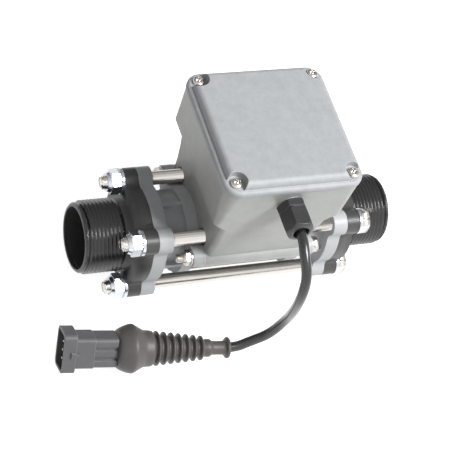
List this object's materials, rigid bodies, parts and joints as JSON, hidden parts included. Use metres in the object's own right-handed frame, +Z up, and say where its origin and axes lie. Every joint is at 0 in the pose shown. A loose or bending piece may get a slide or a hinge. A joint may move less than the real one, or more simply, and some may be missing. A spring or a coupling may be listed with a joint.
{
  "type": "turbine flow meter",
  "caption": "In-line turbine flow meter: threaded pipe ends clamped to a ribbed body by long tie bolts, cast sensor box on top, cable gland and sealed cable connector.",
  "frame": {"origin": "on the standing surface, under the centre of the bounding box of the meter without its cable", "axes": "+X along the pipe in the direction of flow, -Y towards the cable gland side (front), +Z up"},
  "size_m": [0.2135, 0.1284, 0.1227],
  "materials": {
    "black_plastic": "moulded glass-filled nylon, slight sheen",
    "grey_plastic": "moulded, matt",
    "cast_aluminium": "die cast, fine blasted and silver painted",
    "seal_rubber": "matt",
    "stainless": "bright drawn",
    "zinc_steel": "bright zinc plated",
    "hydraulic_plastic": "moulded",
    "rotor_plastic": "moulded",
    "bush_plastic": "carbon-filled",
    "pickup_shell": "moulded",
    "board_laminate": "solder resist",
    "gland_plastic": "moulded nylon",
    "cable_jacket": "matt jacket",
    "boot_rubber": "matt moulded rubber",
    "connector_plastic": "moulded",
    "pin_brass": "tinned brass"
  },
  "bodies": {
    "meter": {"outlet_nipple": "black_plastic", "inlet_nipple": "black_plastic", "inlet_body": "grey_plastic", "outlet_body": "grey_plastic", "flange_seals": "seal_rubber", "tube_seals": "seal_rubber", "lid_gasket": "seal_rubber", "gland_seal": "seal_rubber", "sensor_housing": "cast_aluminium", "lid": "cast_aluminium", "flow_tube": "stainless", "snap_rings": "stainless", "inlet_straightener": "hydraulic_plastic", "outlet_support": "hydraulic_plastic", "rotor_bushes": "bush_plastic", "pickup_sensor": "pickup_shell", "circuit_board": "board_laminate", "board_screws": "zinc_steel", "lid_screws": "zinc_steel", "tie_bolts": "stainless", "tie_head_washers": "zinc_steel", "tie_nut_washers": "zinc_steel", "tie_nuts": "zinc_steel", "clamp_bolts": "zinc_steel", "clamp_washers": "zinc_steel", "clamp_nuts": "zinc_steel", "gland_body": "gland_plastic", "gland_nut": "gland_plastic", "gland_locknut": "gland_plastic", "cable": "cable_jacket", "connector_boot": "boot_rubber", "connector_housing": "connector_plastic", "contact_pins": "pin_brass"},
    "rotor": {"rotor": "rotor_plastic", "rotor_shaft": "stainless"}
  },
  "joints": [
    {"name": "rotor_spin", "type": "hinge", "parent": "meter", "child": "rotor", "pos_m": [0, 0, 0.0289], "axis": [1, 0, 0], "continuous": true}
  ]
}
